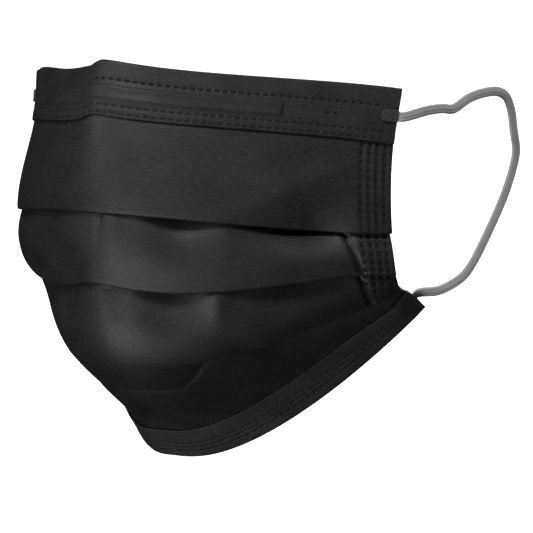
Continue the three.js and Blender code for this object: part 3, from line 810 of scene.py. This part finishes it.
class EarLoop:
    """A flat band from the weld on the top hem's outer face, round the back and into the weld inside
    the bottom hem, on the left (1) or the right (-1)."""

    def __init__(self, sizes, sign):
        self.sizes = sizes
        self.sign = sign
        self.form = Form(np.array([float(sign)]))
        self.low = self.form.drops[BOTTOM, 0] - LOWER_PAD["rise"]
        leaf = sizes.seam + sizes.hem_cloth + WELD_GAP + PAD_THICKNESS / 2
        self.upper_depth = -sizes.weld_press - leaf
        self.lower_depth = sizes.cloth + leaf

    def lead(self, drop, depth, reach):
        """A point past the side edge of a weld, halfway between the cloth's own way and +Y."""
        drop, depth = np.array([[drop]]), np.array([[depth]])
        _, left = self.form.directions(drop)
        return (self.form.place(drop, depth) + reach * unit(self.sign * left + (0, 1, 0)))[0, 0]

    def line(self):
        """Points along the middle of the band, the same way apart, and their way from its start."""
        ends = (UPPER_PAD["drop"], self.upper_depth), (self.low, self.lower_depth)
        (start, lead), (end_lead, end) = (
            (self.lead(*ends[0], reach) for reach in (-LOOP_LAP, LOOP_LEAD)),
            (self.lead(*ends[1], reach) for reach in (LOOP_LEAD, -LOOP_LAP)),
        )
        route = np.array(LOOP_ROUTE)
        route[:, 0] *= self.sign
        if self.sign < 0:
            down = (route[:, 2].max() - route[:, 2]) / np.ptp(route[:, 2])
            back = (route[:, 1] - start[1]) / (route[:, 1].max() - start[1])
            route[:, 0] *= 1 - mix(RIGHT_LOOP["top_narrow"], RIGHT_LOOP["bottom_narrow"], down)
            route[:, 2] -= RIGHT_LOOP["droop"] * np.clip(back, 0, 1)
        return even_steps(curve_through([start, lead, *route, end_lead, end], SPAN_STEPS), LOOP_STEPS)

    def band(self):
        """The line, its ways, and the points and cut of the band's surface. The band lies flat
        against the hem at its ends and stands on edge between them."""
        line, way = self.line()
        along = unit(np.gradient(line, axis=0))
        edge_on = np.broadcast_to(unit(np.array([float(self.sign), BAND_LEAN, 0])), line.shape)
        from_end = np.minimum(way, way[-1] - way)
        inward = [self.form.directions(np.array([[drop]]))[0][0, 0] for drop in (UPPER_PAD["drop"], self.low)]
        at_end = np.where((way < way[-1] / 2)[:, None], -inward[0], -inward[1])
        thin = mix(at_end, edge_on, smooth(0, BAND_TURN, from_end)[:, None])
        thin = unit(thin - along * np.sum(thin * along, axis=1, keepdims=True))
        wide = np.cross(along, thin)
        squash = mix(PAD_THICKNESS / self.sizes.band_thickness, 1, smooth(0, BAND_SWELL, from_end))[:, None]
        angle = np.linspace(0, 2 * math.pi, BAND_SIDES, endpoint=False)[:, None, None]
        cosine, sine = np.cos(angle), np.sin(angle)
        width = np.sign(cosine) * np.abs(cosine) ** BAND_SQUARE * self.sizes.band_width / 2
        thickness = np.sign(sine) * np.abs(sine) ** BAND_SQUARE * self.sizes.band_thickness / 2 * squash
        points = line + wide * width + thin * thickness
        girth = 2 * (self.sizes.band_width + self.sizes.band_thickness)
        around = np.linspace(0, 1, BAND_SIDES + 1)[:, None] * girth
        cut = np.stack(np.broadcast_arrays(around, way), axis=-1)
        if self.sign < 0:
            points, cut = points[::-1], cut[::-1]
        return line, way, points, cut

    def pad(self, middle, width, depth):
        """Shares across, drops and depths of a weld with a lattice of bars on it."""
        length = PAD_LENGTH / HALF_CUT
        across = np.sort(self.sign * np.linspace(1 - length, 1, PAD_GRID[0]))
        drop = strip_down(PAD_GRID[1], width, middle, across)
        return across, drop, depth - BAR_RISE * lattice(across * HALF_CUT, drop)

    def upper_pad(self):
        return self.pad(UPPER_PAD["drop"], UPPER_PAD["width"], self.upper_depth)

    def lower_pad(self):
        return self.pad(self.low, LOWER_PAD["width"], self.lower_depth)


class Value:
    """A number that varies over a surface. Sums, differences, products and quotients of it add
    Math nodes."""

    def __init__(self, shader, socket):
        self.shader = shader
        self.socket = socket

    def apply(self, operation, *others):
        node = self.shader.node("ShaderNodeMath", {"operation": operation}, dict(enumerate((self, *others))))
        return Value(self.shader, node.outputs[0])

    __add__ = __radd__ = partialmethod(apply, "ADD")
    __sub__ = partialmethod(apply, "SUBTRACT")
    __mul__ = __rmul__ = partialmethod(apply, "MULTIPLY")
    __truediv__ = partialmethod(apply, "DIVIDE")
    __pow__ = partialmethod(apply, "POWER")

    def __rsub__(self, other):
        return self * -1 + other


class Shader:
    """A material under construction, with its nodes made by one method."""

    def __init__(self, name):
        self.material = bpy.data.materials.new(name)
        self.material.use_nodes = True
        self.tree = self.material.node_tree
        self.surface = self.tree.nodes["Principled BSDF"]

    def node(self, kind, settings=None, sockets=None):
        """Adds a node, with its settings first and then the values or links of its sockets."""
        node = self.tree.nodes.new(kind)
        for key, value in (settings or {}).items():
            setattr(node, key, value)
        self.fill(node, sockets or {})
        return node

    def fill(self, node, sockets):
        for key, value in sockets.items():
            source = value.socket if isinstance(value, Value) else value
            if isinstance(source, bpy.types.NodeSocket):
                self.tree.links.new(source, node.inputs[key])
            else:
                node.inputs[key].default_value = source

    def finish(self, sockets):
        """Fills the sockets of the surface and gives the material."""
        self.fill(self.surface, sockets)
        return self.material

    def cut_position(self):
        """Place on the flat cloth in millimetres, across and down."""
        coordinates = self.node("ShaderNodeTexCoord").outputs["UV"]
        parts = self.node("ShaderNodeSeparateXYZ", sockets={0: coordinates})
        scale = UV_UNIT / MM
        return Value(self, parts.outputs[0]) * scale, Value(self, parts.outputs[1]) * scale

    def vector(self, x, y, z=0.0):
        return self.node("ShaderNodeCombineXYZ", sockets={0: x, 1: y, 2: z}).outputs[0]

    def noise(self, vector, scale, detail=2.0, roughness=0.5):
        sockets = {"Vector": vector, "Scale": scale, "Detail": detail, "Roughness": roughness}
        node = self.node("ShaderNodeTexNoise", sockets=sockets)
        return Value(self, node.outputs["Fac"])

    def pressed(self):
        """How hard the cloth is welded, from 0 to 1."""
        return Value(self, self.node("ShaderNodeAttribute", {"attribute_name": PRESSED}).outputs["Fac"])

    def mix(self, start, end, factor):
        node = self.node("ShaderNodeMix", {"data_type": "RGBA"}, {0: factor, 6: start, 7: end})
        return node.outputs[2]

    def bump(self, height, distance):
        return self.node("ShaderNodeBump", sockets={"Height": height, "Distance": distance}).outputs[0]


def shade(colour, factor):
    """A colour made lighter or darker by a factor, opaque."""
    return tuple(channel * factor for channel in colour) + (1.0,)


def cloth_material(name, colour, streaks, gloss):
    """Spun fibre cloth: fine fibres that run across, soft patches and a wide soft gloss."""
    shader = Shader(name)
    across, down = shader.cut_position()
    noises = []
    for row in CLOTH_NOISES:
        place = shader.vector(across / row["across"], down / row["down"])
        noises.append(shader.noise(place, 1.0, row["detail"], row["rough"]))
    fibres, _, specks = noises
    first, *others = (noise * row["weight"] for noise, row in zip(noises, CLOTH_NOISES))
    tone = sum(others, first)
    base = shader.mix(shade(colour, 1 - streaks), shade(colour, 1 + streaks), (tone - 0.5) * CONTRAST + 0.5)
    pressed = shader.pressed()
    return shader.finish({
        "Base Color": shader.mix(base, shade(colour, WELD_SHADE), pressed),
        "Roughness": fibres * 0.2 + 0.40 + pressed * 0.4,
        "Normal": shader.bump(fibres * 0.6 + specks * 0.4, 0.1 * MM),
        "Specular IOR Level": gloss,
    })


def elastic_material(name, colour, painted_light=0.0):
    """Knitted elastic: ribs along the band crossed by rows of small loops. Painted light makes it lighter
    towards white along the band, by the fourth power of its way."""
    shader = Shader(name)
    round_band, along = shader.cut_position()
    ribs = (round_band * (2 * math.pi / RIB_PITCH)).apply("SINE")
    loops = (along * (2 * math.pi / LOOP_PITCH)).apply("SINE")
    knit = ribs * 0.5 + ribs * loops * 0.3 + 0.5
    fuzz = shader.noise(shader.vector(round_band, along / 2), 3.0, 3.0, 0.6)
    base = shader.mix(shade(colour, 0.75), shade(colour, 1.2), knit * 0.6 + fuzz * 0.4)
    # Painted light: white mixed in towards the band's lower end stands in for the light it catches there
    if painted_light:
        painted_light_share = (along / PAINTED_LIGHT_LENGTH) ** 4.0 * painted_light
        base = shader.mix(base, (1.0, 1.0, 1.0, 1.0), painted_light_share)
    return shader.finish({
        "Base Color": base,
        "Roughness": 0.8 - fuzz * 0.15,
        "Normal": shader.bump(knit * 0.7 + fuzz * 0.3, 0.12 * MM),
        "Sheen Weight": 0.3,
        "Sheen Roughness": 0.5,
        "Specular IOR Level": 0.3,
    })


def metal_material(name, colour):
    """Rolled aluminium with fine lines along the strip."""
    shader = Shader(name)
    across, down = shader.cut_position()
    lines = shader.noise(shader.vector(across / 9, down / 0.12), 1.0, 2.0)
    return shader.finish({
        "Base Color": shader.mix(shade(colour, 0.85), shade(colour, 1.1), lines),
        "Metallic": 1.0,
        "Roughness": lines * 0.2 + 0.3,
        "Normal": shader.bump(lines, 0.02 * MM),
    })


def stage_material(name, colour):
    """A pale sweep that glows a little, so that it stays even."""
    shader = Shader(name)
    return shader.finish({
        "Base Color": shade(colour, 1),
        "Roughness": 0.9,
        "Emission Color": (1.0, 1.0, 1.0, 1.0),
        "Emission Strength": 1.0,
    })


class MaskBody(bpy.types.Operator):
    """Adds the pleated cloth"""

    bl_idname = "pleated_mask.body"
    bl_label = "Pleated cloth"

    def execute(self, context):
        sizes, colours = context.scene.mask_sizes, context.scene.mask_colours
        across = cloth_columns()
        cloth = PleatedCloth(sizes, across)
        drop, depth, panel = cloth.paths()
        pressed = cloth.dotted(drop, panel)
        depth = depth + cloth.creased(drop, panel) + sizes.weld_press * pressed
        material = cloth_material("Pleated cloth", colours.cloth, CLOTH_LOOK["streaks"], CLOTH_LOOK["gloss"])
        name = "pleated_cloth"
        piece, length = add_sheet(
            name, material, name, "pleated_body", sizes.cloth, across, drop, depth, pressed
        )
        return {"FINISHED"}


class MaskHems(bpy.types.Operator):
    """Adds the strips that are folded over the top and bottom edges"""

    bl_idname = "pleated_mask.hems"
    bl_label = "Hems"

    def execute(self, context):
        sizes, colours = context.scene.mask_sizes, context.scene.mask_colours
        across = np.linspace(-1, 1, HEM_COLUMNS)
        # The bottom hem takes the top hem's cloth made lighter with painted light
        for name, colour in (("top_hem", colours.hem), ("bottom_hem", colours.lower_hem_painted_light)):
            title = name.replace("_", " ").capitalize() + " cloth"
            material = cloth_material(title, colour, HEM_LOOK["streaks"], HEM_LOOK["gloss"])
            hem = Hem(sizes, across, name == "bottom_hem")
            piece, _ = add_sheet(
                name + "_strip", material, "hem_cloth", name, sizes.hem_cloth, across, *hem.paths()
            )
        return {"FINISHED"}


class MaskWire(bpy.types.Operator):
    """Adds the nose wire inside the top hem"""

    bl_idname = "pleated_mask.wire"
    bl_label = "Nose wire"

    def execute(self, context):
        sizes, colours = context.scene.mask_sizes, context.scene.mask_colours
        reach = sizes.wire_length / 2 / HALF_CUT
        across = np.linspace(-reach, reach, WIRE_GRID[0])
        drop = strip_down(WIRE_GRID[1], sizes.wire_width, sizes.wire_drop, across)
        depth = np.full_like(drop, -sizes.seam - sizes.wire_thickness / 2)
        material = metal_material("Wire metal", colours.metal)
        add_sheet("wire_strip", material, "wire", "nose_wire", sizes.wire_thickness, across, drop, depth)
        return {"FINISHED"}


class MaskLoops(bpy.types.Operator):
    """Adds the ear loops and the welds at their ends"""

    bl_idname = "pleated_mask.loops"
    bl_label = "Ear loops"

    def execute(self, context):
        sizes, colours = context.scene.mask_sizes, context.scene.mask_colours
        band = elastic_material("Elastic", colours.elastic, BAND_PAINTED_LIGHT)
        weld = elastic_material("Welded elastic", colours.weld)
        for side, sign in (("left", 1), ("right", -1)):
            loop = EarLoop(sizes, sign)
            for end, pad in (("upper", loop.upper_pad()), ("lower", loop.lower_pad())):
                add_sheet(f"{end}_pad_{side}", weld, "elastic", f"{end}_weld_{side}", PAD_THICKNESS, *pad)
            line, way, points, cut = loop.band()
            mesh = mesh_from_grid(f"loop_band_{side}", points, cut, tube=True)
            piece = add_piece(f"loop_band_{side}", mesh, band, f"ear_loop_{side}")
            path = [tuple(point) for point in line[::CORD_STEP]]
            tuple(path[0])
        return {"FINISHED"}


class MaskStageSet(bpy.types.Operator):
    """Adds the floor, backdrop, camera and lights"""

    bl_idname = "pleated_mask.stage"
    bl_label = "Stage"

    def execute(self, context):
        stage, colours = context.scene.mask_stage, context.scene.mask_colours
        angle = np.linspace(0, math.pi / 2, SWEEP["steps"])
        reach, back_wall, bend = SWEEP["reach"], SWEEP["back"], SWEEP["bend"]
        y = np.concatenate([[-reach], back_wall - bend + bend * np.sin(angle), [back_wall]])
        z = np.concatenate([[0], bend - bend * np.cos(angle), [SWEEP["rise"]]]) + SWEEP["floor"]
        x = np.array([-reach, reach])
        points = np.stack(np.broadcast_arrays(x[None], y[:, None], z[:, None]), axis=-1)
        mesh = mesh_from_grid("sweep", points, points[..., :2])
        sweep = bpy.data.objects.new("sweep", mesh)
        context.scene.collection.objects.link(sweep)
        mesh.materials.append(stage_material("Sweep", colours.floor))
        sweep.visible_diffuse = False
        sweep.visible_glossy = False
        sweep.visible_shadow = False

        back = Vector((
            math.sin(stage.azimuth) * math.cos(stage.elevation),
            -math.cos(stage.azimuth) * math.cos(stage.elevation),
            math.sin(stage.elevation),
        ))
        data = bpy.data.cameras.new("camera")
        data.lens = stage.lens
        data.sensor_width = SENSOR
        camera = bpy.data.objects.new("camera", data)
        context.scene.collection.objects.link(camera)
        camera.location = AIM + back * stage.distance
        camera.rotation_euler = back.to_track_quat("Z", "Y").to_euler()
        context.scene.camera = camera

        for row in LIGHTS:
            light = bpy.data.lights.new(row["name"], "AREA")
            light.energy = getattr(stage, row["name"])
            light.size = row["size"]
            lamp = bpy.data.objects.new(row["name"], light)
            context.scene.collection.objects.link(lamp)
            lamp.location = row["place"]
            lamp.rotation_euler = (lamp.location - AIM).to_track_quat("Z", "Y").to_euler()
        world = bpy.data.worlds.new("surroundings")
        world.use_nodes = True
        background = world.node_tree.nodes["Background"]
        background.inputs["Color"].default_value = (1, 1, 1, 1)
        background.inputs["Strength"].default_value = stage.fill
        context.scene.world = world
        context.scene.view_settings.view_transform = "Standard"
        return {"FINISHED"}


class MaskPanel(bpy.types.Panel):
    """Lists the sizes, colours and pieces of the mask"""

    bl_idname = "VIEW3D_PT_pleated_mask"
    bl_label = "Pleated mask"
    bl_space_type = "VIEW_3D"
    bl_region_type = "UI"
    bl_category = "Mask"

    def draw(self, context):
        layout = self.layout
        for settings in (context.scene.mask_sizes, context.scene.mask_colours, context.scene.mask_stage):
            box = layout.box()
            for name in settings.__annotations__:
                box.prop(settings, name)
        for operator in (MaskStageSet, MaskBody, MaskHems, MaskWire, MaskLoops):
            layout.operator(operator.bl_idname)


CLASSES = (
    MaskSizes, MaskColours, MaskStage, MaskBody, MaskHems, MaskWire, MaskLoops, MaskStageSet, MaskPanel,
)


SETTINGS = {"mask_sizes": MaskSizes, "mask_colours": MaskColours, "mask_stage": MaskStage}


def register():
    for item in CLASSES:
        bpy.utils.register_class(item)
    for name, group in SETTINGS.items():
        setattr(bpy.types.Scene, name, bpy.props.PointerProperty(type=group))


def unregister():
    for name in SETTINGS:
        delattr(bpy.types.Scene, name)
    for item in reversed(CLASSES):
        bpy.utils.unregister_class(item)


def main():
    register()
    bpy.ops.pleated_mask.stage()
    bpy.ops.pleated_mask.body()
    bpy.ops.pleated_mask.hems()
    bpy.ops.pleated_mask.wire()
    bpy.ops.pleated_mask.loops()


if __name__ == "__main__":
    main()
